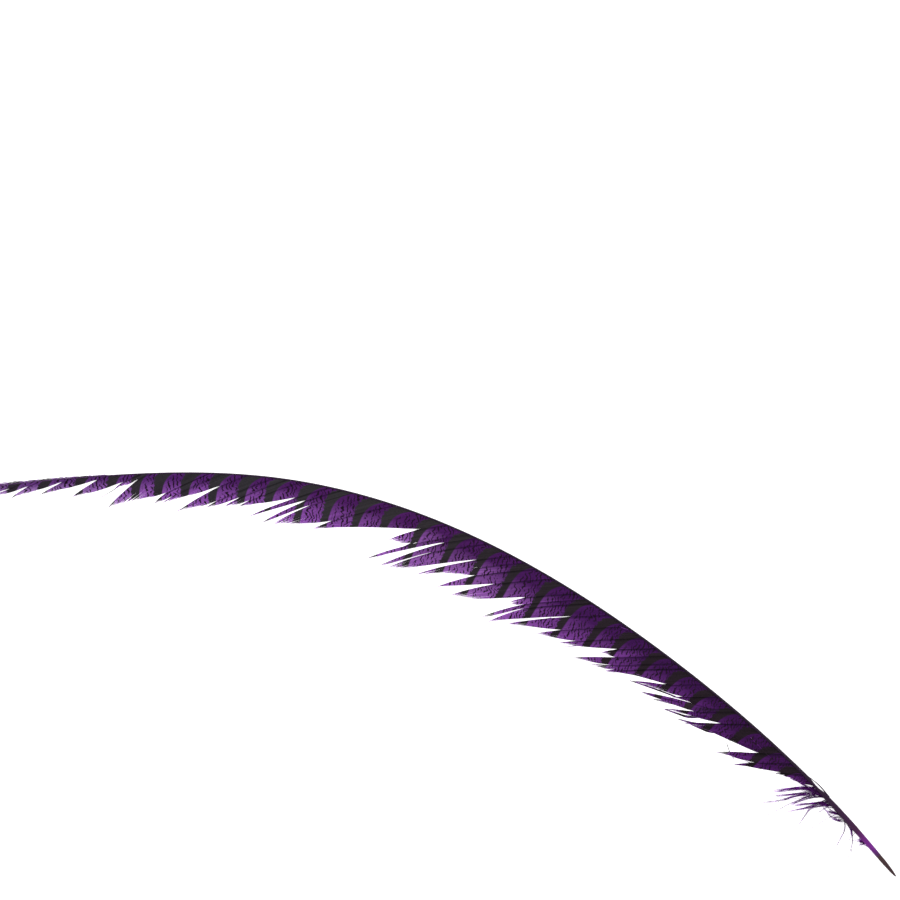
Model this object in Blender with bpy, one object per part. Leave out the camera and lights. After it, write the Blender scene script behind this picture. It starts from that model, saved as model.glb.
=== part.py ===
"""A barred pheasant tail feather, dyed purple, lying flat with its upper side up.

It is a long, narrow side feather. Its shaft bends to one side, and the wide vane on the
inside of the bend has split into locks. Lengths here are millimetres, measured along the
shaft from the cut end of the quill and straight across from the shaft; the vane's side is
positive. The finished feather is in metres, with X along it, the quill at +X, Z up, and
the middle of its underside at the origin.
"""
import bpy
import bmesh
import numpy as np
from mathutils import Matrix

MM = 0.001

# The shaft's line: where it sets out from the quill's end, and how fast it bends.
SHAFT_LENGTH = 652.0
LINE_LENGTH = 670.0
START_HEADING = 151.7
BEND_AT = (0, 90, 180, 270, 360, 450, 540, 600, 652)
BEND = (0.040, 0.091, 0.057, 0.092, 0.134, 0.164, 0.066, 0.028, 0.0)  # degrees per mm

# The shaft's size: distance from the quill's end, width, height.
SHAFT_SIZES = (
    (0, 0.9, 1.0), (4, 2.0, 2.1), (10, 2.7, 2.8), (25, 3.1, 3.2), (40, 3.5, 3.4),
    (55, 3.3, 3.2), (75, 2.4, 2.9), (100, 1.8, 2.6), (150, 1.5, 2.3), (220, 1.3, 2.0),
    (320, 1.1, 1.7), (430, 1.0, 1.4), (530, 0.8, 1.0), (618, 0.5, 0.6), (652, 0.2, 0.3),
)
SHAFT_STEP = 6.0
SHAFT_SIDES = 8

# The vane's locks, from the feather's tip to its base. Each is the root of the split ahead
# of it, its point, and the end of its last barb: along and across the shaft.
LOCKS = (
    ((650, 0.8), (664, 1.6), (659, 2.4)),
    ((641, 1.2), (655, 4.4), (646, 4.6)),
    ((628, 1.4), (640, 6.0), (629, 5.6)),
    ((612, 2.6), (624, 6.2), (615, 5.6)),
    ((601, 2.4), (611, 7.6), (596, 5.4)),
    ((580.2, 1.6), (594, 7.8), (577, 5.6)),
    ((559.3, 2.1), (575, 10.8), (562, 9.4)),
    ((543.8, 4.4), (548, 7.4), (541.6, 6.4)),
    ((535, 3.2), (553.4, 18.4), (527, 14.2)),
    ((519.3, 12.4), (525, 17.8), (521.6, 17.0)),
    ((514.5, 14.0), (520.3, 17.8), (501, 13.0)),
    ((485.5, 7.6), (511, 22.6), (496, 20.0)),
    ((487, 16.6), (492.7, 20.4), (486.4, 19.2)),
    ((473.2, 14.0), (482.7, 20.0), (475.5, 18.2)),
    ((467, 15.4), (473.2, 19.2), (460, 16.2)),
    ((438.6, 10.2), (466, 24.5), (463, 23.6)),
    ((431.8, 10.6), (458.6, 28.1), (455.6, 27.2)),
    ((428.6, 12.8), (450, 27.2), (432.5, 25.0)),
    ((415, 20.4), (423.6, 26.2), (404, 21.0)),
    ((361, 9.4), (375, 20.4), (368, 20.2)),
    ((357.5, 16.4), (386, 35.8), (383.6, 35.2)),
    ((342.7, 10.4), (376, 37.2), (373.8, 36.8)),
    ((346.2, 17.8), (370.5, 36.7), (356.4, 32.4)),
    ((319.5, 11.4), (353.2, 35.4), (341, 30.2)),
    ((314.5, 13.8), (337, 28.2), (321.5, 22.2)),
    ((317, 20.8), (336, 36.7), (331.6, 34.4)),
    ((304.5, 20.6), (325.5, 37.6), (311, 33.8)),
    ((283.5, 18.6), (289.5, 25.2), (287, 25.6)),
    ((281.6, 22.0), (301.8, 41.7), (299.4, 40.8)),
    ((279.6, 23.6), (296.4, 42.2), (288, 37.4)),
    ((251.4, 12.9), (286.8, 37.2), (273, 32.6)),
    ((253.6, 24.0), (265.9, 33.7), (258.5, 31.0)),
    ((242.7, 25.2), (250.5, 30.8), (240, 27.0)),
    ((218.2, 14.7), (224.6, 21.3), (220, 20.2)),
    ((215.6, 18.8), (238.6, 34.0), (229, 30.6)),
    ((214.5, 24.0), (227.3, 31.2), (220, 29.4)),
    ((208.5, 23.4), (215.5, 28.6), (198, 19.0)),
    ((181, 14.0), (201, 25.0), (177, 16.8)),
    ((168.5, 13.6), (174, 17.6), (164, 13.6)),
    ((151.6, 9.0), (190.5, 26.0), (181, 24.2)),
    ((156.6, 15.6), (173, 25.6), (155, 18.4)),
    ((140, 11.3), (158, 25.2), (142, 19.0)),
    ((111.8, 10.4), (131.4, 26.3), (121, 22.0)),
    ((109, 15.6), (118.2, 25.6), (112, 21.0)),
    ((92.6, 8.8), (94.4, 10.8), (80, 5.4)),
)
VANE_BASE = (76.0, 2.2)
VANE_THICKNESS = 0.5
VANE_RISE = 0.40          # how far up the shaft's side the vane joins, as a share of its height
VANE_TOUCHDOWN = 16.0     # distance across at which the vane's underside meets the surface
VANE_CURL = 0.0035        # how fast its outer part curls up from there, a millimetre per mm squared

# The narrow side is a fringe near the tip; the down is a fan of loose barbs at the base.
OUTER_MARGIN = ((560, -0.95), (580, -1.5), (605, -1.9), (640, -2.1), (656, -1.7), (663, -0.9))
OUTER_BASE = 552.0
OUTER_THICKNESS = 0.3
DOWN_TIPS = ((76.6, 5.8), (90.5, 32.6), (81.4, 35.8), (62.3, 23.5), (56.4, 23.5),
             (36.8, 15.8), (25.5, 16.7))
DOWN_ROOTS = (74.4, 24.0)
DOWN_THICKNESS = 1.0

GAP = 0.3                 # between the shaft and what grows on it
EDGE_STEP = 8.0           # between points along the shaft-side edges
WEB_EDGE = 11.0           # the longest edge left in a web before it is bent


def shaft_line():
    """The shaft's line at every millimetre: distance, x, y, heading in radians."""
    along = np.arange(0.0, LINE_LENGTH + 1.0)
    bend = np.interp(along, BEND_AT, BEND)
    turned = np.concatenate(([0.0], np.cumsum((bend[1:] + bend[:-1]) / 2)))
    heading = np.radians(START_HEADING + turned)
    middle = (heading[1:] + heading[:-1]) / 2
    x = np.concatenate(([0.0], np.cumsum(np.cos(middle))))
    y = np.concatenate(([0.0], np.cumsum(np.sin(middle))))
    return along, x, y, heading


LINE = shaft_line()


def shaft_size(along):
    """The shaft's width and height at a distance from the quill's end."""
    at, width, height = np.array(SHAFT_SIZES).T
    return np.interp(along, at, width), np.interp(along, at, height)


def lay(along, across, height):
    """The place of a point measured along and across the shaft, in metres."""
    at, x, y, heading = LINE
    turn = np.interp(along, at, heading)
    place_x = np.interp(along, at, x) - across * np.sin(turn)
    place_y = np.interp(along, at, y) + across * np.cos(turn)
    return place_x * MM, place_y * MM, height * MM


def material(name, colour, roughness):
    """A Principled material of one colour."""
    made = bpy.data.materials.new(name)
    made.use_nodes = True
    shader = made.node_tree.nodes["Principled BSDF"]
    shader.inputs["Base Color"].default_value = (*colour, 1.0)
    shader.inputs["Roughness"].default_value = roughness
    shader.inputs["Metallic"].default_value = 0.0
    return made


def finish(bm, name, finish_material, smooth):
    """Turn a bmesh into a named object with its material."""
    bmesh.ops.recalc_face_normals(bm, faces=bm.faces)
    mesh = bpy.data.meshes.new(name)
    bm.to_mesh(mesh)
    bm.free()
    mesh.materials.append(finish_material)
    if smooth:
        mesh.shade_smooth()
        mesh.set_sharp_from_angle(angle=np.radians(50))
    made = bpy.data.objects.new(name, mesh)
    bpy.context.scene.collection.objects.link(made)
    return made


def section_place(along):
    """The matrix that sets a section one unit wide and high across the shaft."""
    width, height = shaft_size(along)
    x, y, z = lay(along, 0.0, height / 2)
    turn = np.interp(along, LINE[0], LINE[3])
    facing = Matrix((
        (-np.sin(turn), 0, np.cos(turn)),
        (np.cos(turn), 0, np.sin(turn)),
        (0, 1, 0),
    )).to_4x4()
    size = Matrix.Diagonal((width * MM, height * MM, 1, 1))
    return Matrix.Translation((x, y, z)) @ facing @ size


def build_shaft():
    """The quill and the shaft in one: a tapering rod, rounded above and flat below."""
    bm = bmesh.new()
    half_side = np.pi / SHAFT_SIDES
    ring = bmesh.ops.create_circle(
        bm, cap_ends=False, segments=SHAFT_SIDES, radius=0.5 / np.cos(half_side),
        matrix=Matrix.Rotation(half_side, 4, "Z"))["verts"]
    stations = np.unique(np.concatenate((
        np.array([0.0, 2.0, 4.0, 7.0]),
        np.arange(10.0, SHAFT_LENGTH, SHAFT_STEP),
        np.array([SHAFT_LENGTH]),
    )))
    bmesh.ops.transform(bm, matrix=section_place(stations[0]), verts=ring)
    edges = list(bm.edges)
    bmesh.ops.holes_fill(bm, edges=edges)
    for here, there in zip(stations[:-1], stations[1:]):
        grown = bmesh.ops.extrude_edge_only(bm, edges=edges)["geom"]
        ring = [item for item in grown if isinstance(item, bmesh.types.BMVert)]
        edges = [item for item in grown if isinstance(item, bmesh.types.BMEdge)]
        step = section_place(there) @ section_place(here).inverted()
        bmesh.ops.transform(bm, matrix=step, verts=ring)
    bmesh.ops.holes_fill(bm, edges=edges)
    return finish(bm, "shaft", material("keratin_dark", (0.045, 0.022, 0.038), 0.35), True)


def shaft_side(first, last, side):
    """Points beside the shaft from one distance to another, a gap away from it."""
    count = max(2, int(abs(last - first) / EDGE_STEP) + 1)
    points = []
    for along in np.linspace(first, last, count):
        width = shaft_size(along)[0]
        points.append((along, side * (width / 2 + GAP)))
    return points


def vane_underside(along, across):
    """Height of the vane's underside: from the shaft's side down to the surface, then curling up."""
    fall = np.clip(abs(across) / VANE_TOUCHDOWN, 0.0, 1.0)
    beyond = np.maximum(abs(across) - VANE_TOUCHDOWN, 0.0)
    arch = VANE_RISE * shaft_size(along)[1] * (1.0 - fall * fall * (3.0 - 2.0 * fall))
    return arch + VANE_CURL * beyond * beyond


def build_plate(name, outline, thickness, finish_material):
    """A thin web: cut out flat, given its thickness, then bent along the shaft."""
    bm = bmesh.new()
    corners = [bm.verts.new((along, across, 0.0)) for along, across in outline]
    bm.faces.new(corners)
    bm.normal_update()
    bmesh.ops.triangulate(bm, faces=bm.faces)
    bmesh.ops.beautify_fill(bm, faces=bm.faces, edges=bm.edges)
    while long_edges := [edge for edge in bm.edges if edge.calc_length() > WEB_EDGE]:
        bmesh.ops.subdivide_edges(bm, edges=long_edges, cuts=1)
        bmesh.ops.triangulate(bm, faces=bm.faces)
        bmesh.ops.beautify_fill(bm, faces=bm.faces, edges=bm.edges)
    bmesh.ops.recalc_face_normals(bm, faces=bm.faces)
    sheet = list(bm.verts)
    grown = bmesh.ops.extrude_face_region(bm, geom=bm.faces[:])["geom"]
    raised = [item for item in grown if isinstance(item, bmesh.types.BMVert)]
    for vert in sheet + raised:
        vert.co.z = vane_underside(vert.co.x, vert.co.y)
    for vert in raised:
        vert.co.z += thickness
    for vert in bm.verts:
        vert.co = lay(*vert.co)
    return finish(bm, name, finish_material, False)


def build_inner_vane():
    """The wide vane on the inside of the bend, with the splits between its locks."""
    margin = [point for lock in LOCKS for point in lock]
    outline = shaft_side(VANE_BASE[0], SHAFT_LENGTH - 3, 1) + margin + [VANE_BASE]
    web = material("dyed_web", (0.075, 0.018, 0.115), 0.6)
    return build_plate("inner_vane", outline, VANE_THICKNESS, web)


def build_outer_vane():
    """The narrow vane on the outside of the bend, left only near the tip."""
    outline = shaft_side(SHAFT_LENGTH, OUTER_BASE, -1) + list(OUTER_MARGIN)
    fringe = material("dyed_fringe", (0.10, 0.03, 0.15), 0.6)
    return build_plate("outer_vane", outline, OUTER_THICKNESS, fringe)


def build_downy_base():
    """The space that the loose downy barbs at the base take up."""
    outline = shaft_side(DOWN_ROOTS[1], DOWN_ROOTS[0], 1) + list(DOWN_TIPS)
    down = material("dyed_down", (0.09, 0.02, 0.13), 0.7)
    return build_plate("downy_base", outline, DOWN_THICKNESS, down)


def centre(pieces):
    """Move the pieces so that the middle of the feather's underside is at the origin."""
    points = np.array([vert.co for piece in pieces for vert in piece.data.vertices])
    low = points.min(axis=0)
    high = points.max(axis=0)
    shift = Matrix.Translation((-(low[0] + high[0]) / 2, -(low[1] + high[1]) / 2, -low[2]))
    for piece in pieces:
        piece.data.transform(shift)


for old in list(bpy.data.objects):
    bpy.data.objects.remove(old)
centre([build_shaft(), build_inner_vane(), build_outer_vane(), build_downy_base()])
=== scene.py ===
"""A barred pheasant tail feather, dyed purple, lying flat on a pale surface.

Places on the feather are given as the real one is measured: millimetres along the shaft from
the cut end of the quill, millimetres straight across from the shaft with the wide vane's side
positive, and millimetres up from the surface. Each piece is modelled on a straight shaft and
then bent to the feather's line.
"""

import bmesh
import bpy
import numpy as np
from mathutils import Matrix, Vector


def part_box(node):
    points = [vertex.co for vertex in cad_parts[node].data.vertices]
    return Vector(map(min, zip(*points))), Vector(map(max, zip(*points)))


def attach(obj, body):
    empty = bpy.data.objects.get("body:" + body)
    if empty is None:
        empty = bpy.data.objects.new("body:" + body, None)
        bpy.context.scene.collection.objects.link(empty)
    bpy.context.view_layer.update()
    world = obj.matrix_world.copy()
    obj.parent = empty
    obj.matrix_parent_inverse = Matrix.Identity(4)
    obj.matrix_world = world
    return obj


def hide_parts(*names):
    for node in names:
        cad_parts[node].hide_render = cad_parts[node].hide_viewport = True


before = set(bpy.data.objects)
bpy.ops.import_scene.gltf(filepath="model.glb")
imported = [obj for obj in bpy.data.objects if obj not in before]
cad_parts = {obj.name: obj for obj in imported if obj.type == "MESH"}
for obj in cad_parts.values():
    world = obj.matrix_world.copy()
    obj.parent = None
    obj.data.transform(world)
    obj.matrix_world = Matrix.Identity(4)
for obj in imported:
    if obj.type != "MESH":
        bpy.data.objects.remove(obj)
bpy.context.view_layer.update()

# ---- Quill and shaft -------------------------------------------------------------------------
# One horny rod of keratin, round and hollow at the quill, slimmer and pithy along the vane.
# It grew in one piece with the barbs. The dye left it nearly black, with a bright purple band
# above the quill's bare tip.
MM = 0.001
SHAFT_LENGTH = 652.0
LINE_LENGTH = 670.0
START_HEADING = 151.7
BEND_AT = (0, 90, 180, 270, 360, 450, 540, 600, 652)
BEND = (0.040, 0.091, 0.057, 0.092, 0.134, 0.164, 0.066, 0.028, 0.0)  # degrees per mm
SHAFT_SIZES = (
    (0, 0.9, 1.0), (4, 2.0, 2.1), (10, 2.7, 2.8), (25, 3.1, 3.2), (40, 3.5, 3.4),
    (55, 3.3, 3.2), (75, 2.4, 2.9), (100, 1.8, 2.6), (150, 1.5, 2.3), (220, 1.3, 2.0),
    (320, 1.1, 1.7), (430, 1.0, 1.4), (530, 0.8, 1.0), (618, 0.5, 0.6), (652, 0.2, 0.3),
)  # distance from the quill's end, width, height
SHAFT_SIDES = 20
SHAFT_CUTS = 320
QUILL_OPENING = 0.2       # the hole in the quill's tip
QUILL_OPENING_DEPTH = 1.2
SLIVER_AT = 71.5          # where a sliver has lifted off the shaft's outer side
SLIVER_DEPTH = 0.75
SLIVER_HALF_LENGTH = 4.5
CUTS_CROWD = 1.3          # the cuts across the shaft lie closer together towards the quill


def shaft_line():
    """The shaft's line at every millimetre: distance, x, y, heading in radians."""
    along = np.arange(0.0, LINE_LENGTH + 1.0)
    bend = np.interp(along, BEND_AT, BEND)
    turned = np.concatenate(([0.0], np.cumsum((bend[1:] + bend[:-1]) / 2)))
    heading = np.radians(START_HEADING + turned)
    middle = (heading[1:] + heading[:-1]) / 2
    x = np.concatenate(([0.0], np.cumsum(np.cos(middle))))
    y = np.concatenate(([0.0], np.cumsum(np.sin(middle))))
    return along, x, y, heading


LINE = shaft_line()


def shaft_size(along):
    """The shaft's width and height at a distance from the quill's end."""
    at, width, height = np.array(SHAFT_SIZES).T
    return np.interp(along, at, width), np.interp(along, at, height)


def bent(along, across):
    """Places in plan of points measured along and across the shaft, in millimetres."""
    at, x, y, heading = LINE
    turn = np.interp(along, at, heading)
    place_x = np.interp(along, at, x) - across * np.sin(turn)
    place_y = np.interp(along, at, y) + across * np.cos(turn)
    return np.stack((place_x, place_y), axis=-1)


def frame_offset():
    """How far the line has to move so that this shaft lies in the frame's shaft."""
    stations = np.linspace(0.0, SHAFT_LENGTH, 800)
    half = shaft_size(stations)[0] / 2
    sides = np.concatenate((bent(stations, half), bent(stations, -half))) * MM
    low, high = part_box("shaft")
    wanted = np.array([(low.x + high.x) / 2, (low.y + high.y) / 2])
    return wanted - (sides.min(axis=0) + sides.max(axis=0)) / 2


OFFSET = frame_offset()


def read_points(mesh):
    """A mesh's points as rows of an array."""
    points = np.empty(len(mesh.vertices) * 3)
    mesh.vertices.foreach_get("co", points)
    return points.reshape(-1, 3)


def store_map(mesh, name, values):
    """Store a pair of numbers for each point as a UV map."""
    corners = np.empty(len(mesh.loops), dtype=int)
    mesh.loops.foreach_get("vertex_index", corners)
    layer = mesh.uv_layers.new(name=name)
    layer.data.foreach_set("uv", values[corners].ravel())


def bend_to_line(mesh):
    """Store where each point is along and across the shaft, then bend the mesh to the line."""
    points = read_points(mesh)
    store_map(mesh, "place", points[:, :2])
    world = np.empty_like(points)
    world[:, :2] = bent(points[:, 0], points[:, 1]) * MM + OFFSET
    world[:, 2] = points[:, 2] * MM
    mesh.vertices.foreach_set("co", world.ravel())
    mesh.update()


def colour(hex_value):
    """An sRGB hex value as linear red, green, blue and alpha."""
    channels = [int(hex_value[i:i + 2], 16) / 255 for i in (1, 3, 5)]
    linear = [c / 12.92 if c <= 0.04045 else ((c + 0.055) / 1.055) ** 2.4 for c in channels]
    return (*linear, 1.0)


def add(tree, kind, inputs=(), **settings):
    """Add a node with its settings; each input is linked from a socket or set to a value."""
    made = tree.nodes.new("ShaderNode" + kind)
    for key, value in settings.items():
        setattr(made, key, value)
    for key, value in dict(inputs).items():
        if isinstance(value, bpy.types.NodeSocket):
            tree.links.new(value, made.inputs[key])
        else:
            made.inputs[key].default_value = value
    return made


def set_ramp(ramp_node, stops):
    """Give a colour ramp its stops, each a position from 0 to 1 and a hex colour."""
    elements = ramp_node.color_ramp.elements
    while len(elements) > 1:
        elements.remove(elements[-1])
    for number, (position, hex_value) in enumerate(stops):
        stop = elements[0] if number == 0 else elements.new(position)
        stop.position = position
        stop.color = colour(hex_value)


def new_material(name, roughness, specular):
    """A material with one Principled shader, and its node tree and shader."""
    made = bpy.data.materials.new(name)
    made.use_nodes = True
    shader = made.node_tree.nodes["Principled BSDF"]
    shader.inputs["Roughness"].default_value = roughness
    shader.inputs["Specular IOR Level"].default_value = specular
    shader.inputs["IOR"].default_value = 1.55
    return made, made.node_tree, shader


# Along the shaft, as a share of its length: bare tip, bright band, dark maroon, near black.
HORN_TONES = (
    (0.0, "#3a262c"), (0.024, "#3c2a2c"), (0.0268, "#4c2058"), (0.035, "#6c2080"),
    (0.046, "#5e1a6a"), (0.055, "#40193f"), (0.07, "#311536"), (0.1, "#28122c"),
    (0.14, "#221226"), (0.4, "#201426"), (0.8, "#2e1a34"), (1.0, "#5a3a68"),
)


def horn_material():
    """Dyed keratin horn: smooth and a little shiny, with fine lengthwise grain."""
    made, tree, shader = new_material("dyed_keratin_horn", 0.42, 0.12)
    place = add(tree, "UVMap", uv_map="place")
    parts = add(tree, "SeparateXYZ", {"Vector": place.outputs["UV"]})
    length_share = add(tree, "Math", {0: parts.outputs["X"], 1: SHAFT_LENGTH},
                       operation="DIVIDE")
    tone = add(tree, "ValToRGB", {"Fac": length_share.outputs[0]})
    set_ramp(tone, HORN_TONES)
    # Grain runs along the shaft: stretched noise, about 0.2 mm across and 8 mm long.
    stretched = add(tree, "Mapping", {"Vector": place.outputs["UV"], "Scale": (0.12, 5.0, 1.0)})
    grain = add(tree, "TexNoise", {"Vector": stretched.outputs["Vector"], "Scale": 1.0,
                                   "Detail": 3.0})
    depth = add(tree, "MapRange", {"Value": grain.outputs["Fac"], "From Min": 0.3,
                                   "From Max": 0.7, "To Min": 0.62, "To Max": 1.3})
    shaded = add(tree, "MixRGB", {"Fac": 1.0, "Color1": tone.outputs["Color"],
                                  "Color2": depth.outputs["Result"]}, blend_type="MULTIPLY")
    bump = add(tree, "Bump", {"Height": grain.outputs["Fac"], "Strength": 0.35,
                              "Distance": 0.1 * MM})
    tree.links.new(shaded.outputs["Color"], shader.inputs["Base Color"])
    tree.links.new(bump.outputs["Normal"], shader.inputs["Normal"])
    return made


def build_shaft():
    """A straight rod with the quill's opening, sized station by station, then bent."""
    bm = bmesh.new()
    bmesh.ops.create_cone(bm, cap_ends=True, segments=SHAFT_SIDES, radius1=1.0, radius2=1.0,
                          depth=1.0, matrix=Matrix.Rotation(np.pi / 2, 4, "Y"))
    lengthwise = [edge for edge in bm.edges if abs(edge.verts[0].co.x - edge.verts[1].co.x) > 0.5]
    bmesh.ops.subdivide_edges(bm, edges=lengthwise, cuts=SHAFT_CUTS, use_grid_fill=True)
    for vert in bm.verts:
        along = SHAFT_LENGTH * max(vert.co.x + 0.5, 0.0) ** CUTS_CROWD
        width, height = shaft_size(along)
        across = vert.co.y * width / 2
        lost = np.exp(-((along - SLIVER_AT) / SLIVER_HALF_LENGTH) ** 4)
        across += SLIVER_DEPTH * lost * max(-vert.co.y, 0.0)
        vert.co = (along, across, (1.0 + vert.co.z) * height / 2)
    end = min(bm.faces, key=lambda face: face.calc_center_median().x)
    bmesh.ops.inset_region(bm, faces=[end], thickness=QUILL_OPENING)
    bmesh.ops.translate(bm, vec=(QUILL_OPENING_DEPTH, 0, 0), verts=end.verts)
    bmesh.ops.recalc_face_normals(bm, faces=bm.faces)
    mesh = bpy.data.meshes.new("quill_and_shaft")
    bm.to_mesh(mesh)
    bm.free()
    bend_to_line(mesh)
    mesh.shade_smooth()
    mesh.set_sharp_from_angle(angle=np.radians(50))
    return mesh


def add_piece(name, mesh, material, replaced):
    """Put a finished mesh in the scene as a piece of the feather."""
    mesh.materials.clear()
    mesh.materials.append(material)
    piece = bpy.data.objects.new(name, mesh)
    bpy.context.scene.collection.objects.link(piece)
    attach(piece, "root")
    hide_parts(replaced)
    return piece


HORN = horn_material()
add_piece("quill_and_shaft", build_shaft(), HORN, "shaft")

# ---- The wide vane ---------------------------------------------------------------------------
# About twelve hundred barbs, each a flat keratin blade rooted in the shaft's side and hooked to
# its neighbours. They have split into locks, whose loose ends have frayed. The bird grew the
# bars and the fine wavy lines, and the dye turned what lay between them purple.
LOCKS = (
    ((650, 0.8), (664, 1.6), (659, 2.4)),
    ((641, 1.2), (655, 4.4), (646, 4.6)),
    ((628, 1.4), (640, 6.0), (629, 5.6)),
    ((612, 2.6), (624, 6.2), (615, 5.6)),
    ((601, 2.4), (611, 7.6), (596, 5.4)),
    ((580.2, 1.6), (594, 7.8), (577, 5.6)),
    ((559.3, 2.1), (575, 10.8), (562, 9.4)),
    ((543.8, 4.4), (548, 7.4), (541.6, 6.4)),
    ((535, 3.2), (553.4, 18.4), (527, 14.2)),
    ((519.3, 12.4), (525, 17.8), (521.6, 17.0)),
    ((514.5, 14.0), (520.3, 17.8), (501, 13.0)),
    ((485.5, 7.6), (511, 22.6), (496, 20.0)),
    ((487, 16.6), (492.7, 20.4), (486.4, 19.2)),
    ((473.2, 14.0), (482.7, 20.0), (475.5, 18.2)),
    ((467, 15.4), (473.2, 19.2), (460, 16.2)),
    ((438.6, 10.2), (466, 24.5), (463, 23.6)),
    ((431.8, 10.6), (458.6, 28.1), (455.6, 27.2)),
    ((428.6, 12.8), (450, 27.2), (432.5, 25.0)),
    ((415, 20.4), (423.6, 26.2), (404, 21.0)),
    ((361, 9.4), (375, 20.4), (368, 20.2)),
    ((357.5, 16.4), (386, 35.8), (383.6, 35.2)),
    ((342.7, 10.4), (376, 37.2), (373.8, 36.8)),
    ((346.2, 17.8), (370.5, 36.7), (356.4, 32.4)),
    ((319.5, 11.4), (353.2, 35.4), (341, 30.2)),
    ((314.5, 13.8), (337, 28.2), (321.5, 22.2)),
    ((317, 20.8), (336, 36.7), (331.6, 34.4)),
    ((304.5, 20.6), (325.5, 37.6), (311, 33.8)),
    ((283.5, 18.6), (289.5, 25.2), (287, 25.6)),
    ((281.6, 22.0), (301.8, 41.7), (299.4, 40.8)),
    ((279.6, 23.6), (296.4, 42.2), (289.4, 37.2)),
    ((251.4, 12.9), (285.2, 37.6), (273, 32.6)),
    ((253.6, 24.0), (265.9, 33.7), (258.5, 31.0)),
    ((242.7, 25.2), (250.5, 30.8), (240, 27.0)),
    ((218.2, 14.7), (224.6, 21.3), (220, 20.2)),
    ((215.6, 18.8), (238.6, 34.0), (229, 30.6)),
    ((214.5, 24.0), (227.3, 31.2), (220, 29.4)),
    ((208.5, 23.4), (215.5, 28.6), (198, 19.0)),
    ((181, 14.0), (201, 25.0), (177, 16.8)),
    ((168.5, 13.6), (174, 17.6), (164, 13.6)),
    ((151.6, 9.0), (190.5, 26.0), (181, 24.2)),
    ((156.6, 15.6), (173, 25.6), (155, 18.4)),
    ((140, 11.3), (158, 25.2), (142, 19.0)),
    ((111.8, 10.4), (131.4, 26.3), (121, 22.0)),
    ((109, 15.6), (118.2, 25.6), (112, 21.0)),
    ((92.6, 8.8), (94.4, 10.8), (80, 5.4)),
)  # from the tip to the base: root of the split ahead, the lock's point, its last barb's end
VANE_BASE = (76.0, 2.2)
BARB_SPACING = 0.46
BARB_STATIONS = 18
STATIONS_CROWD = 1.25     # a barb's stations lie closer together by the shaft
BARB_HEIGHT = 0.16        # a barb's ridge stands above the web between it and the next
BARB_COVER = 0.64         # a barb's half width as a share of the way to the next
BARB_HALF_WIDTHS = (0.09, 0.5)
LOOSE_SHARE = 0.16        # what share of the barbs' ends reach past the others
POINT_REACH = 1.9         # how far a lock's first barb reaches past its point
VANE_JOIN = 0.55          # how far up the shaft's side the barbs are rooted
VANE_TOUCHDOWN = 16.0     # distance across at which the vane comes down to the surface
VANE_CURL = 0.0035        # how fast it curls up from there, a millimetre per mm squared
LOCK_LAP = 0.45           # how far a lock's last barb lies over the next lock
# LOCK_SHADE is painted shade: it darkens the colour of a lock's first barbs where the lock before
# would shadow them.
LOCK_SHADE = (1.0, 1.0, 1.0, 0.8, 0.5, 0.2)  # the shade it throws on that lock's first barbs
SHADE_FADES_OVER = 4.0    # past the split, how soon that shade has gone
SPLIT_GAPE = 0.22         # how far a lock's edge draws back from a split
SPLIT_GAPE_OVER = 2.0     # along the barb, how soon it does
LOCK_BELLY = 0.3          # how far the edge bulges again, most of it past the middle
BAR_CENTRES = (
    60.0, 78, 92.5, 110, 127.4, 145, 162, 180.5, 198.5, 219.5, 234.5, 255, 275.5, 297, 318,
    338, 360, 381.5, 398.5, 418, 435, 455, 472, 489.8, 507, 523.3, 537, 552, 571.5, 593.5,
    612.5, 631, 648,
)
BAR_HALF_WIDTH = 2.3
# By the shaft a bar's edges sweep towards the quill: how far, and how soon that dies out across.
TIP_EDGE_SWEEP = ((430, 7.8), (530, 2.7))
TIP_SWEEP_GONE = 2.5
BASE_EDGE_SWEEP = ((100, 7.7), (300, 8.4), (370, 12.6), (450, 11.5), (500, 9.5), (540, 5.6))
BASE_SWEEP_GONE = 4.7


def lean(along):
    """The angle between a barb and the shaft, in radians: wide at the base, narrow at the tip."""
    return np.radians(np.maximum(20.0, 46.0 - 0.045 * (along - 60.0)))


def vane_height(along, across):
    """Height of the vane: from the shaft's side down to the surface, then curling up."""
    fall = np.clip(np.abs(across) / VANE_TOUCHDOWN, 0.0, 1.0)
    beyond = np.maximum(np.abs(across) - VANE_TOUCHDOWN, 0.0)
    arch = VANE_JOIN * shaft_size(along)[1] * (1.0 - fall * fall * (3.0 - 2.0 * fall))
    return arch + VANE_CURL * beyond * beyond


def path_through(root, waypoint, end, shares):
    """Points from root past waypoint to end, its turn rounded off, for each row of them."""
    first = np.linalg.norm(waypoint - root, axis=-1)
    second = np.linalg.norm(end - waypoint, axis=-1)
    at = np.clip(first / (first + second), 0.2, 0.8)[:, None, None]
    paths = 0.0
    for nudge in (-0.1, -0.05, 0.0, 0.05, 0.1):
        t = shares[None, :, None] + nudge
        before = np.minimum(t / at, 1.0)
        beyond = np.maximum((t - at) / (1.0 - at), 0.0)
        paths = paths + (root[:, None] + (waypoint - root)[:, None] * before
                         + (end - waypoint)[:, None] * beyond)
    return paths / 5.0


def bar_phase(along):
    """Counts the bars: a whole number at each bar's middle, and between them in proportion."""
    return np.interp(along, BAR_CENTRES, np.arange(len(BAR_CENTRES)))


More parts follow.
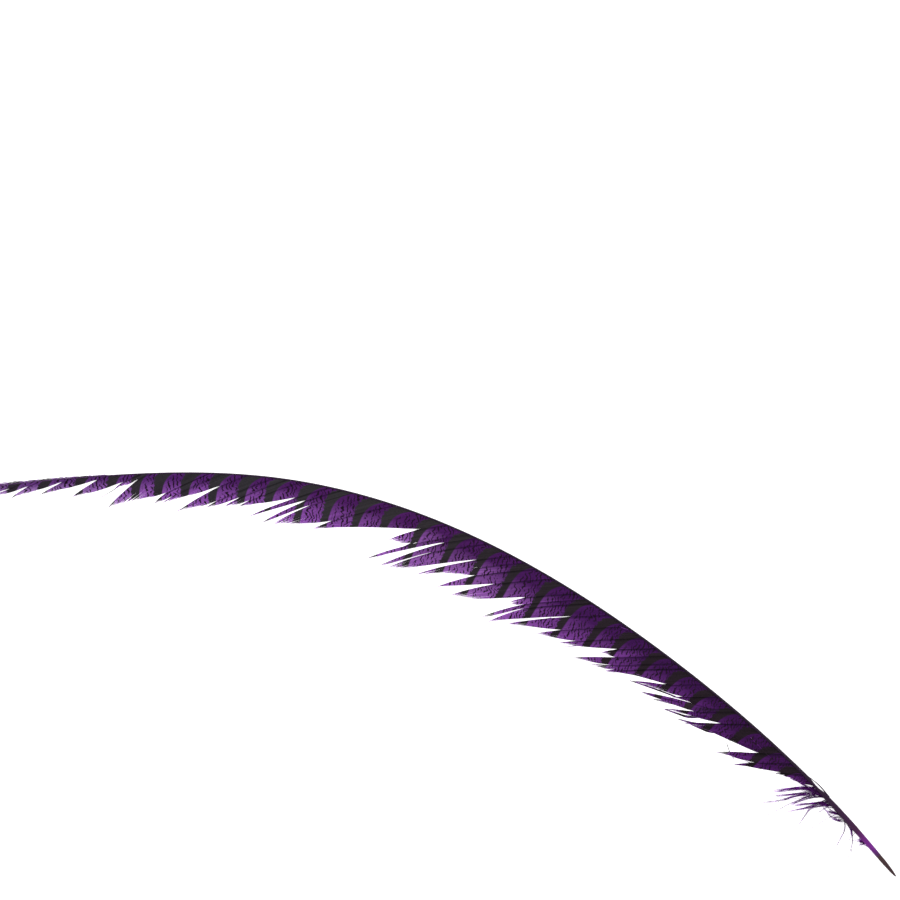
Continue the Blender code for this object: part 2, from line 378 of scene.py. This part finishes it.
def store_markings(mesh, points):
    """Store what the bars and wavy lines follow: where a point is between one bar and the next."""
    along = points[:, 0]
    across = np.abs(points[:, 1])
    tip_sweep = np.interp(along, *np.transpose(TIP_EDGE_SWEEP))
    tip_sweep *= np.exp(-across / TIP_SWEEP_GONE)
    base_sweep = np.interp(along, *np.transpose(BASE_EDGE_SWEEP))
    base_sweep *= np.exp(-across / BASE_SWEEP_GONE)
    tip_edge = bar_phase(along + tip_sweep - BAR_HALF_WIDTH)
    base_edge = bar_phase(along + base_sweep + BAR_HALF_WIDTH)
    store_map(mesh, "bars", np.stack((tip_edge, base_edge), axis=-1))
    slant = 0.6 * np.clip(1.0 - along / 560.0, 0.0, 1.0)
    store_map(mesh, "waves", np.stack((along + slant * across, across), axis=-1))


def blades(name, paths, heights, half_widths, tones, blade_height):
    """Many thin three-sided blades as one mesh, each along its own path of stations.

    paths is blade by station by (along, across), heights and half_widths are blade by station,
    and tones is by blade, or by blade and station: from 0 to 1, and below that a painted shade.
    """
    count, stations = heights.shape
    tones = np.broadcast_to(tones.reshape(count, -1), heights.shape)
    bm = bmesh.new()
    ridge_up = Matrix.Rotation(np.pi / 2, 4, "Y") @ Matrix.Rotation(np.pi / 2, 4, "Z")
    bmesh.ops.create_cone(bm, cap_ends=True, segments=3, radius1=1.0, radius2=1.0, depth=1.0,
                          matrix=ridge_up)
    long_edges = [edge for edge in bm.edges if abs(edge.verts[0].co.x - edge.verts[1].co.x) > 0.5]
    bmesh.ops.subdivide_edges(bm, edges=long_edges, cuts=stations - 2)
    bmesh.ops.recalc_face_normals(bm, faces=bm.faces)
    blade = bpy.data.meshes.new(name + "_blade")
    bm.to_mesh(blade)
    bm.free()
    holder = bpy.data.objects.new(name + "_blade", blade)
    bpy.context.scene.collection.objects.link(holder)
    array = holder.modifiers.new("copies", "ARRAY")
    array.count = count
    array.use_relative_offset = False
    array.use_constant_offset = True
    array.constant_offset_displace = (2.0, 0.0, 0.0)
    evaluated = holder.evaluated_get(bpy.context.evaluated_depsgraph_get())
    mesh = bpy.data.meshes.new_from_object(evaluated)
    mesh.name = name
    template = read_points(blade)
    bpy.data.objects.remove(holder)
    station = np.tile(np.rint((template[:, 0] + 0.5) * (stations - 1)).astype(int), count)
    number = np.repeat(np.arange(count), len(template))
    sideways = np.tile(np.sign(np.round(template[:, 1])), count)
    upwards = np.tile(template[:, 2] > 0, count)
    run = np.gradient(paths, axis=1)
    run /= np.linalg.norm(run, axis=2, keepdims=True)
    across_blade = np.stack((-run[..., 1], run[..., 0]), axis=-1)
    share = half_widths / half_widths.max(axis=1, keepdims=True)
    points = np.empty((len(station), 3))
    offset = (sideways * half_widths[number, station])[:, None]
    points[:, :2] = paths[number, station] + across_blade[number, station] * offset
    lift = upwards * blade_height * np.sqrt(share[number, station])
    points[:, 2] = heights[number, station] + lift
    mesh.vertices.foreach_set("co", points.ravel())
    store_markings(mesh, points)
    out = np.linspace(0.0, 1.0, stations)
    store_map(mesh, "blade", np.stack((out[station], tones[number, station]), axis=-1))
    bend_to_line(mesh)
    return mesh


# From the base to the tip, as a share of the shaft's length: near the shaft, and at the margin.
INNER_PURPLES = (
    (0.09, "#3c104c"), (0.25, "#380e4a"), (0.4, "#441658"), (0.55, "#4c1b5e"),
    (0.7, "#532168"), (0.8, "#592674"), (0.92, "#70408a"), (1.0, "#a07cb4"),
)
OUTER_PURPLES = (
    (0.09, "#5c2472"), (0.25, "#662c7e"), (0.4, "#8a4ca4"), (0.5, "#a66cbe"),
    (0.65, "#9a5cb6"), (0.8, "#a062bc"), (1.0, "#c4a4d4"),
)
BAR_TONES = (
    (0.09, "#21161f"), (0.3, "#251b23"), (0.45, "#2c252b"), (0.58, "#343034"),
    (0.7, "#38353a"), (0.8, "#343036"), (1.0, "#3b323e"),
)
WAVY_LINE = "#220e22"
BARE_TIP = "#b48cc4"
LINE_GAP = 2.3            # between one wavy line and the next


def barb_material(name, bright):
    """Dyed barbs: satin keratin blades, barred charcoal on purple, with fine wavy lines.

    bright is how far the purple goes towards the margin's paler one.
    """
    made, tree, shader = new_material(name, 0.6, 0.07)
    place = add(tree, "UVMap", uv_map="place").outputs["UV"]
    blade = add(tree, "SeparateXYZ", {"Vector": add(tree, "UVMap", uv_map="blade").outputs["UV"]})
    bars = add(tree, "SeparateXYZ", {"Vector": add(tree, "UVMap", uv_map="bars").outputs["UV"]})
    waves = add(tree, "SeparateXYZ", {"Vector": add(tree, "UVMap", uv_map="waves").outputs["UV"]})
    along = add(tree, "SeparateXYZ", {"Vector": place})
    share = add(tree, "Math", {0: along.outputs["X"], 1: SHAFT_LENGTH}, operation="DIVIDE")
    inner = add(tree, "ValToRGB", {"Fac": share.outputs[0]})
    set_ramp(inner, INNER_PURPLES)
    outer = add(tree, "ValToRGB", {"Fac": share.outputs[0]})
    set_ramp(outer, OUTER_PURPLES)
    charcoal = add(tree, "ValToRGB", {"Fac": share.outputs[0]})
    set_ramp(charcoal, BAR_TONES)
    # The purple is paler on the outer part of a barb than by the shaft.
    outwards = add(tree, "MapRange", {"Value": blade.outputs["X"], "From Min": 0.33,
                                      "From Max": 0.95, "To Min": 0.0, "To Max": bright})
    purple = add(tree, "MixRGB", {"Fac": outwards.outputs["Result"],
                                  "Color1": inner.outputs["Color"],
                                  "Color2": outer.outputs["Color"]})
    # Wavy lines: a ripple across the barbs, wandering every 3 mm or so and broken every 5.
    wander = add(tree, "Mapping", {"Vector": place, "Scale": (1 / 8.0, 1 / 3.0, 1.0)})
    drift = add(tree, "TexNoise", {"Vector": wander.outputs["Vector"], "Scale": 1.0,
                                   "Detail": 1.5}, noise_dimensions="2D")
    bent_by = add(tree, "MapRange", {"Value": drift.outputs["Fac"], "From Min": 0.2,
                                     "From Max": 0.8, "To Min": -1.7, "To Max": 1.7})
    ripple_at = add(tree, "Math", {0: waves.outputs["X"], 1: bent_by.outputs["Result"]})
    turns = add(tree, "Math", {0: ripple_at.outputs[0], 1: 2 * np.pi / LINE_GAP},
                operation="MULTIPLY")
    ripple = add(tree, "Math", {0: turns.outputs[0]}, operation="SINE")
    broken = add(tree, "Mapping", {"Vector": place, "Scale": (1 / 2.2, 1 / 4.5, 1.0)})
    breaks = add(tree, "TexNoise", {"Vector": broken.outputs["Vector"], "Scale": 1.0,
                                    "Detail": 1.0}, noise_dimensions="2D")
    level = add(tree, "MapRange", {"Value": breaks.outputs["Fac"], "From Min": 0.3,
                                   "From Max": 0.55, "To Min": -1.1, "To Max": 0.1})
    raised = add(tree, "Math", {0: ripple.outputs[0], 1: level.outputs["Result"]})
    line = add(tree, "MapRange", {"Value": raised.outputs[0], "From Min": 0.1,
                                  "From Max": 0.65})
    # Bars: ragged on the side towards the tip, crisp on the side towards the quill.
    rag = add(tree, "TexNoise", {"Vector": place, "Scale": 1 / 1.6, "Detail": 2.0},
              noise_dimensions="2D")
    ragged = add(tree, "MapRange", {"Value": rag.outputs["Fac"], "From Min": 0.25,
                                    "From Max": 0.75, "To Min": -0.05, "To Max": 0.05})
    tip_side = add(tree, "Math", {0: bars.outputs["X"], 1: ragged.outputs["Result"]})
    middle = add(tree, "Math", {0: bars.outputs["X"], 1: bars.outputs["Y"]})
    half = add(tree, "Math", {0: middle.outputs[0], 1: 0.5}, operation="MULTIPLY")
    nearest = add(tree, "Math", {0: half.outputs[0]}, operation="ROUND")
    from_tip = add(tree, "Math", {0: nearest.outputs[0], 1: tip_side.outputs[0]},
                   operation="SUBTRACT")
    from_base = add(tree, "Math", {0: bars.outputs["Y"], 1: nearest.outputs[0]},
                    operation="SUBTRACT")
    inside = add(tree, "Math", {0: from_tip.outputs[0], 1: from_base.outputs[0]},
                 operation="MINIMUM")
    bar = add(tree, "MapRange", {"Value": inside.outputs[0], "From Min": -0.012,
                                 "From Max": 0.02})
    # A clear purple strip, about 2 mm wide, runs beside each bar on the quill's side.
    past_strip = add(tree, "MapRange", {"Value": from_base.outputs[0], "From Min": -0.13,
                                        "From Max": -0.06, "To Min": 1.0, "To Max": 0.0})
    tip_of_bar = add(tree, "MapRange", {"Value": from_tip.outputs[0], "From Min": -0.04,
                                        "From Max": 0.0, "To Min": 1.0, "To Max": 0.0})
    outside = add(tree, "Math", {0: past_strip.outputs["Result"],
                                 1: tip_of_bar.outputs["Result"]}, operation="MAXIMUM")
    clear_only = add(tree, "Math", {0: line.outputs["Result"], 1: outside.outputs[0]},
                     operation="MULTIPLY")
    lined = add(tree, "MixRGB", {"Fac": clear_only.outputs[0],
                                 "Color1": purple.outputs["Color"],
                                 "Color2": colour(WAVY_LINE)})
    marked = add(tree, "MixRGB", {"Fac": bar.outputs["Result"], "Color1": lined.outputs["Color"],
                                  "Color2": charcoal.outputs["Color"]})
    # Each barb is a little darker or paler than its neighbours, and darker still where a painted
    # shade, the lock before's shadow, is put into its colour.
    taken = add(tree, "MapRange", {"Value": blade.outputs["Y"], "From Min": -1.0,
                                   "To Min": 0.3, "To Max": 1.15})
    shaded = add(tree, "MixRGB", {"Fac": 1.0, "Color1": marked.outputs["Color"],
                                  "Color2": taken.outputs["Result"]}, blend_type="MULTIPLY")
    # The last few millimetres of a barb look bare and pale.
    bare = add(tree, "MapRange", {"Value": blade.outputs["X"], "From Min": 0.93,
                                  "To Min": 0.0, "To Max": 0.8})
    tipped = add(tree, "MixRGB", {"Fac": bare.outputs["Result"],
                                  "Color1": shaded.outputs["Color"],
                                  "Color2": colour(BARE_TIP)})
    tree.links.new(tipped.outputs["Color"], shader.inputs["Base Color"])
    return made


def clump_ends(over, random):
    """Where in its lock each barb ends, once the loose ends have drawn together in clumps."""
    drawn = over.copy()
    first = 0
    while first < len(over):
        last = min(first + random.integers(3, 10), len(over))
        middle = over[first:last].mean()
        hold = random.uniform(0.15, 0.75)
        drawn[first:last] += (middle - over[first:last]) * hold
        first = last
    return drawn


def vane_barbs(random):
    """Paths, heights, half widths and tones of all the wide vane's barbs, lock by lock."""
    roots = np.array([lock[0] for lock in LOCKS] + [VANE_BASE])
    starts = roots[:, 0] - roots[:, 1] / np.tan(lean(roots[:, 0]))
    starts = np.minimum.accumulate(starts)
    shares = np.linspace(0.0, 1.0, BARB_STATIONS) ** STATIONS_CROWD
    taper = np.interp(shares, (0.0, 0.88, 0.96, 1.0), (1.0, 1.0, 0.7, 0.15))
    paths, heights, widths, tones = [], [], [], []
    for number, (_, point, last_end) in enumerate(LOCKS):
        first, last = starts[number], starts[number + 1]
        count = max(4, int(round((first - last) / BARB_SPACING)))
        over = np.linspace(0.0, 1.0, count)
        start = first + (last - first) * over
        root = np.stack((start, shaft_size(start)[0] * 0.4), axis=-1)
        waypoint = roots[number] + (roots[number + 1] - roots[number]) * over[:, None]
        margin = np.array(last_end) - np.array(point)
        end = np.array(point) + margin * over[:, None]
        reach = end - root
        reach /= np.linalg.norm(reach, axis=1, keepdims=True)
        loose = random.random((count, 1)) < LOOSE_SHARE
        further = random.normal(-0.3, 0.55, (count, 1))
        further += loose * random.uniform(0.3, 1.8, (count, 1))
        further += POINT_REACH * np.exp(-9.0 * over[:, None])
        route = path_through(root, waypoint, end + reach * further, shares)
        drawn = (clump_ends(over, random) - over)[:, None, None] * margin
        route += drawn * np.clip((shares[None, :, None] - 0.62) / 0.38, 0.0, 1.0) ** 1.3
        direction = np.gradient(route, axis=1)
        direction /= np.linalg.norm(direction, axis=2, keepdims=True)
        gone = np.linalg.norm(route - root[:, None], axis=2)
        split_at = np.linalg.norm(waypoint - root, axis=1)[:, None]
        gape = SPLIT_GAPE * np.clip((gone - split_at) / SPLIT_GAPE_OVER, 0.0, 1.0)
        freed = np.clip((gone - split_at) / (gone[:, -1:] - split_at), 0.0, 1.0)
        gape -= LOCK_BELLY * np.sin(np.pi * freed ** 1.4)
        to_first = np.stack((direction[..., 1], -direction[..., 0]), axis=-1)
        route += to_first * (gape * (2.0 * over[:, None] - 1.0))[..., None]
        apart = np.gradient(route, axis=0)
        between = np.abs(apart[..., 0] * direction[..., 1] - apart[..., 1] * direction[..., 0])
        widths.append(np.clip(between * BARB_COVER, *BARB_HALF_WIDTHS) * taper)
        rise = LOCK_LAP * over[:, None] * np.clip(shares[None, :] * 2.5, 0.0, 1.0)
        lift = vane_height(route[..., 0], route[..., 1]) + rise
        heights.append(lift + random.uniform(0.0, 0.06, (count, 1)))
        paths.append(route)
        # The shade that the lock before throws on this one's first barbs is painted into their
        # tone, as far as the split.
        shade = np.zeros((count, 1))
        shade[:len(LOCK_SHADE), 0] = np.array(LOCK_SHADE)[:count] * random.uniform(0.6, 1.0)
        shade = shade * (1.0 - np.clip((gone - split_at) / SHADE_FADES_OVER, 0.0, 1.0))
        tones.append(random.uniform(0.0, 1.0, (count, 1)) * (1.0 - shade) - shade)
    return (np.concatenate(paths), np.concatenate(heights), np.concatenate(widths),
            np.concatenate(tones))


VANE = barb_material("dyed_barred_barbs", 1.0)
add_piece("wide_vane", blades("wide_vane", *vane_barbs(np.random.default_rng(5)), BARB_HEIGHT),
          VANE, "inner_vane")

# Barbs that have come loose lie over the vane or stick out past its edge, alone or a few
# together: each row is their root, a point on their way, their end, how high that is, how many.
STRAYS = (
    ((543.0, 4.0), (548.4, 8.1), (561.0, 14.5), 0.8, 1),
    ((500.0, 18.2), (507.0, 20.8), (513.2, 23.8), 0.5, 1),
    ((398.0, 15.0), (407.0, 19.8), (413.0, 21.8), 0.7, 2),
    ((357.0, 13.8), (367.0, 23.8), (379.5, 32.6), 0.6, 3),
    ((344.0, 9.0), (353.0, 13.5), (359.0, 17.5), 0.6, 1),
    ((262.0, 20.5), (270.0, 27.0), (283.0, 35.6), 0.7, 1),
    ((232.0, 21.0), (243.0, 29.0), (248.5, 32.5), 0.5, 1),
    ((216.0, 0.4), (219.5, 1.0), (223.5, 2.2), 2.9, 1),
    ((205.0, 19.5), (209.0, 23.0), (216.0, 28.8), 0.5, 5),
    ((172.0, 16.0), (185.0, 19.8), (201.0, 25.2), 0.6, 4),
    ((167.0, 16.6), (176.4, 20.8), (191.0, 26.4), 0.7, 6),
    ((164.0, 17.0), (172.0, 20.4), (183.0, 25.8), 0.7, 4),
    ((150.0, 13.0), (159.0, 21.0), (173.5, 26.2), 0.7, 5),
    ((143.0, 15.0), (153.6, 21.6), (163.0, 25.8), 0.6, 4),
    ((136.0, 15.0), (144.0, 20.0), (154.5, 23.4), 0.7, 4),
    ((126.5, 10.5), (128.9, 14.5), (129.5, 18.1), 1.4, 1),
    ((129.5, 18.1), (123.6, 21.3), (116.4, 23.1), 0.6, 1),
    ((97.5, 8.0), (105.0, 13.5), (114.0, 19.0), 0.6, 3),
    ((95.5, 6.7), (108.0, 6.9), (121.0, 6.0), 2.4, 1),
)
STRAY_HALF_WIDTH = 0.24
PLAIN_BARBS = np.linspace(0.0, 1.0, 12)


def loose_barbs(rows, half_width, random):
    """Paths, heights, half widths and tones of barbs that lie loose, alone or a few together."""
    rows = [(row, number) for row in rows for number in range(row[4])]
    root, waypoint, end = (np.array([row[place] for row, _ in rows]) for place in range(3))
    beside = np.array([number * random.uniform(0.3, 0.6) for _, number in rows])[:, None]
    root = root - beside * (1.0, 0.0)
    waypoint = waypoint - beside * (0.8, -0.3)
    end = end - beside * (random.uniform(0.2, 1.8), 0.0)
    paths = path_through(root, waypoint, end, PLAIN_BARBS)
    tips = np.array([row[3] for row, _ in rows])[:, None]
    start = vane_height(root[:, 0], root[:, 1])[:, None] + BARB_HEIGHT
    heights = start + (tips - start) * PLAIN_BARBS[None, :]
    widths = half_width * np.interp(PLAIN_BARBS, (0.0, 0.6, 1.0), (1.0, 0.8, 0.25))
    return paths, heights, np.tile(widths, (len(rows), 1)), np.full(len(rows), 0.9)


add_piece("stray_barbs", blades("stray_barbs", *loose_barbs(STRAYS, STRAY_HALF_WIDTH,
                                                             np.random.default_rng(3)), 0.2),
          VANE, "inner_vane")

# ---- The narrow vane -------------------------------------------------------------------------
# On the outside of the bend the barbs are gone, all but a short fringe near the tip. They are
# the same keratin blades as the wide vane's, too short to hook together.
OUTER_MARGIN = ((560, 0.95), (580, 1.5), (605, 1.9), (640, 2.1), (656, 1.7), (663, 0.9))
OUTER_START = 553.0
OUTER_SPACING = 0.62


def narrow_barbs(random):
    """Paths, heights, half widths and tones of the fringe on the outside of the bend."""
    start = np.arange(OUTER_START, SHAFT_LENGTH, OUTER_SPACING)
    margin = np.interp(start + 4.0, *np.array(OUTER_MARGIN).T)
    margin *= random.uniform(0.5, 1.05, len(start))
    along = margin / np.tan(lean(start)) * random.uniform(0.8, 1.2, len(start))
    root = np.stack((start, -shaft_size(start)[0] * 0.35), axis=-1)
    end = np.stack((start + along, -margin), axis=-1)
    waypoint = root + (end - root) * 0.5
    waypoint[:, 1] -= 0.12
    paths = path_through(root, waypoint, end, PLAIN_BARBS)
    heights = 0.4 * shaft_size(paths[..., 0])[1] * (1.0 - PLAIN_BARBS[None, :] * 0.6)
    widths = 0.13 * np.interp(PLAIN_BARBS, (0.0, 0.7, 1.0), (1.0, 0.8, 0.15))
    return paths, heights, np.tile(widths, (len(start), 1)), random.uniform(0, 1, len(start))


add_piece("narrow_vane_fringe",
          blades("narrow_vane_fringe", *narrow_barbs(np.random.default_rng(8)), 0.15),
          VANE, "outer_vane")

# ---- Down at the base ------------------------------------------------------------------------
# Below the vane the barbs are soft and free, with fine barbules that hook to nothing. They
# have matted in tufts, and single hairs stand away from them.
TUFTS = (
    ((68.0, 1.2), (80.0, 5.2), (94.0, 8.6), 8, 0.45, 0.17),
    ((69.5, 1.3), (77.8, 6.4), (88.4, 19.8), 12, 0.7, 0.22),
    ((69.5, 1.3), (77.0, 7.0), (86.2, 18.6), 6, 0.6, 0.2),
    ((68.0, 1.3), (74.6, 8.6), (85.6, 21.6), 9, 0.6, 0.22),
    ((67.5, 1.3), (74.6, 9.0), (80.4, 19.4), 9, 0.5, 0.2),
    ((66.0, 1.3), (71.0, 8.6), (74.4, 17.9), 8, 0.5, 0.2),
    ((59.5, 1.5), (63.0, 4.6), (72.6, 16.8), 10, 0.6, 0.21),
    ((60.0, 1.5), (65.4, 11.0), (70.2, 18.4), 7, 0.5, 0.2),
    ((60.0, 1.5), (65.6, 11.3), (74.8, 25.2), 4, 0.5, 0.18),
    ((61.0, 1.6), (65.4, 11.2), (62.2, 23.8), 5, 0.25, 0.18),
    ((70.0, 1.5), (79.6, 19.0), (90.7, 33.0), 4, 0.9, 0.17),
    ((68.0, 1.5), (74.8, 16.4), (81.4, 35.9), 3, 0.4, 0.15),
    ((58.5, 1.6), (59.0, 5.6), (59.8, 13.4), 2, 0.4, 0.15),
    ((53.0, 1.7), (53.9, 6.2), (56.4, 24.1), 2, 0.15, 0.16),
    ((45.5, 1.7), (41.2, 5.0), (36.9, 16.0), 3, 0.2, 0.2),
    ((40.5, 1.7), (38.4, 2.4), (35.6, 4.2), 9, 0.4, 0.17),
    ((39.5, 1.7), (32.6, 6.8), (25.6, 16.8), 2, 0.15, 0.2),
    ((31.0, 9.4), (28.5, 10.6), (23.4, 14.6), 1, 0.1, 0.15),
    ((36.0, 1.7), (35.6, 5.0), (34.4, 9.8), 1, 0.1, 0.15),
    ((70.5, 1.3), (73.6, 3.4), (77.4, 6.4), 28, 0.9, 0.23),
    ((65.0, 1.3), (68.0, 2.2), (73.0, 4.6), 14, 0.8, 0.2),
    ((57.5, 1.5), (59.8, 3.4), (63.2, 5.4), 20, 0.8, 0.21),
    ((51.5, 1.6), (53.6, 3.2), (56.5, 4.8), 16, 1.0, 0.18),
    ((49.0, 1.6), (52.6, 6.0), (60.4, 5.6), 4, 0.4, 0.16),
    ((46.4, 1.6), (47.6, 4.2), (51.8, 6.2), 9, 0.6, 0.18),
    ((27.5, 1.2), (28.8, 1.9), (31.2, 2.6), 18, 1.3, 0.24),
    ((27.0, 1.2), (27.5, 3.0), (28.5, 4.8), 4, 0.8, 0.12),
)  # root, a point on the way, end, number of barbs, how far their ends spread, half width
DOWN_HEIGHT = 0.25
BARBULES_PER_BARB = 26
BARBULE_HALF_WIDTH = 0.022


def down_barbs(random):
    """Paths, heights, half widths and tones of the down's barbs, tuft by tuft."""
    paths, widths = [], []
    for root, waypoint, end, count, spread, half_width in TUFTS:
        along_shaft = np.stack((random.normal(0, 1.3, count), np.zeros(count)), axis=-1)
        wandering = random.normal(0, 0.45 * spread, (count, 2))
        scatter = random.normal(0, spread, (count, 2))
        paths.append(path_through(np.array(root) + along_shaft * min(1.0, count / 4),
                                  np.array(waypoint) + wandering + along_shaft * 0.3,
                                  np.array(end) + scatter, PLAIN_BARBS))
        taper = np.interp(PLAIN_BARBS, (0.0, 0.5, 1.0), (1.0, 0.75, 0.2))
        widths.append(random.uniform(0.7, 1.1, (count, 1)) * half_width * taper)
    paths = np.concatenate(paths)
    count = len(paths)
    shaft_height = shaft_size(paths[:, 0, 0])[1][:, None]
    rise = random.uniform(0.0, 1.0, (count, 1)) * np.sin(np.pi * PLAIN_BARBS)[None, :]
    heights = shaft_height * 0.55 * (1.0 - PLAIN_BARBS[None, :]) ** 1.5 + rise
    return paths, heights, np.concatenate(widths), random.uniform(0.0, 1.0, count)


def barbules(paths, heights, random):
    """Fine hairs that leave each barb on both sides, shorter towards its tip."""
    count, stations = heights.shape
    barb = np.repeat(np.arange(count), BARBULES_PER_BARB)
    at = random.uniform(0.12, 0.97, len(barb)) * (stations - 1)
    before = at.astype(int)
    part = (at - before)[:, None]
    root = paths[barb, before] * (1 - part) + paths[barb, before + 1] * part
    level = heights[barb, before] * (1 - part[:, 0]) + heights[barb, before + 1] * part[:, 0]
    run = paths[barb, before + 1] - paths[barb, before]
    heading = np.arctan2(run[:, 1], run[:, 0])
    side = np.where(np.arange(len(barb)) % 2 == 0, 1.0, -1.0)
    heading = heading + side * random.uniform(0.5, 1.0, len(barb))
    length = random.uniform(0.5, 1.5, len(barb)) * (1.3 - at / stations)
    ahead = np.stack((np.cos(heading), np.sin(heading)), axis=-1) * length[:, None]
    end = root + ahead
    waypoint = root + ahead * 0.5 + random.normal(0, 0.06, root.shape)
    shares = np.linspace(0.0, 1.0, 4)
    hair_paths = path_through(root, waypoint, end, shares)
    hair_heights = np.maximum(level[:, None] + random.uniform(-0.3, 0.3, (len(barb), 1))
                              * shares[None, :], 0.02)
    widths = np.tile(BARBULE_HALF_WIDTH * np.array((1.0, 0.9, 0.7, 0.3)), (len(barb), 1))
    return hair_paths, hair_heights, widths, random.uniform(0.0, 1.0, len(barb))


# From a barb's root to its tip: matted and near black, then purple, then pale.
DOWN_TONES = (
    (0.0, "#2c1034"), (0.25, "#421454"), (0.6, "#6c2488"), (0.85, "#9048ac"), (1.0, "#b488c8"),
)


def down_material():
    """Dyed down: dull, unhooked barbs, near black where they are matted and pale at the tips."""
    made, tree, shader = new_material("dyed_down_barbs", 0.75, 0.05)
    blade = add(tree, "SeparateXYZ", {"Vector": add(tree, "UVMap", uv_map="blade").outputs["UV"]})
    tone = add(tree, "ValToRGB", {"Fac": blade.outputs["X"]})
    set_ramp(tone, DOWN_TONES)
    # Darker and paler blotches, about 3 mm long.
    place = add(tree, "UVMap", uv_map="place").outputs["UV"]
    blotch = add(tree, "TexNoise", {"Vector": place, "Scale": 1 / 2.5, "Detail": 2.0},
                 noise_dimensions="2D")
    matted = add(tree, "MapRange", {"Value": blotch.outputs["Fac"], "From Min": 0.35,
                                    "From Max": 0.65, "To Min": 0.5, "To Max": 1.3})
    shaded = add(tree, "MixRGB", {"Fac": 1.0, "Color1": tone.outputs["Color"],
                                  "Color2": matted.outputs["Result"]}, blend_type="MULTIPLY")
    tree.links.new(shaded.outputs["Color"], shader.inputs["Base Color"])
    return made


DOWN = down_material()
down_random = np.random.default_rng(21)
down = down_barbs(down_random)
add_piece("down_tufts", blades("down_tufts", *down, DOWN_HEIGHT), DOWN,
          "downy_base")
add_piece("down_barbules",
          blades("down_barbules", *barbules(down[0], down[1], down_random), 0.04),
          DOWN, "downy_base")

# ---- The lifted sliver -----------------------------------------------------------------------
# A strip of the shaft's outer skin has split off beside the down. It is still joined to the
# shaft at both ends and bows away from it between them.
SLIVER = (((62.0, -1.4), (71.0, -2.0), (79.5, -1.1), 1.4, 1),)
SLIVER_HALF_WIDTH = 0.42
SLIVER_HEIGHT = 0.5
sliver = loose_barbs(SLIVER, SLIVER_HALF_WIDTH, np.random.default_rng(1))
add_piece("lifted_sliver", blades("lifted_sliver", *sliver, SLIVER_HEIGHT), HORN,
          "shaft")

# ---- Floor, light and camera -----------------------------------------------------------------
# A pale matt surface that the feather lies on, under broad soft studio light from above.
FLOOR_SIZE = 40.0
CAMERA_HEIGHT = 3.0
VIEW_WIDTH = 0.540
VIEW_CENTRE = (-0.0306, 0.0930)
VIEW_TURN = 22.0
SENSOR_WIDTH = 36.0
FLOOR_GLOW = 0.6          # white backdrop light, which keeps the surface white in the splits
SKY_LIGHT = 1.0
SOFTBOX_WATTS = 28.0
SOFTBOX_SIZE = (2.4, 1.8)
SOFTBOX_PLACE = (-0.9, 1.3, 2.2)
SOFTBOX_TILT = (-30.0, -22.0)

bm = bmesh.new()
bmesh.ops.create_grid(bm, x_segments=1, y_segments=1, size=FLOOR_SIZE / 2)
floor_mesh = bpy.data.meshes.new("floor")
bm.to_mesh(floor_mesh)
bm.free()
floor = bpy.data.objects.new("floor", floor_mesh)
bpy.context.scene.collection.objects.link(floor)
paper, _, paper_shader = new_material("white_paper", 0.9, 0.1)
paper_shader.inputs["Base Color"].default_value = colour("#f6f6f6")
paper_shader.inputs["Emission Color"].default_value = colour("#ffffff")
paper_shader.inputs["Emission Strength"].default_value = FLOOR_GLOW
floor_mesh.materials.append(paper)

world = bpy.data.worlds.new("studio")
world.use_nodes = True
world.node_tree.nodes["Background"].inputs["Color"].default_value = (1.0, 1.0, 1.0, 1.0)
world.node_tree.nodes["Background"].inputs["Strength"].default_value = SKY_LIGHT
bpy.context.scene.world = world
bpy.context.scene.view_settings.view_transform = "Standard"

softbox = bpy.data.lights.new("softbox", "AREA")
softbox.shape = "RECTANGLE"
softbox.size, softbox.size_y = SOFTBOX_SIZE
softbox.energy = SOFTBOX_WATTS
lamp = bpy.data.objects.new("softbox", softbox)
lamp.location = SOFTBOX_PLACE
lamp.rotation_euler = (*np.radians(SOFTBOX_TILT), 0.0)
bpy.context.scene.collection.objects.link(lamp)

camera_data = bpy.data.cameras.new("camera")
camera_data.sensor_width = SENSOR_WIDTH
camera_data.lens = SENSOR_WIDTH * CAMERA_HEIGHT / VIEW_WIDTH
camera = bpy.data.objects.new("camera", camera_data)
camera.location = (*VIEW_CENTRE, CAMERA_HEIGHT)
camera.rotation_euler = (0.0, 0.0, np.radians(VIEW_TURN))
bpy.context.scene.collection.objects.link(camera)
bpy.context.scene.camera = camera
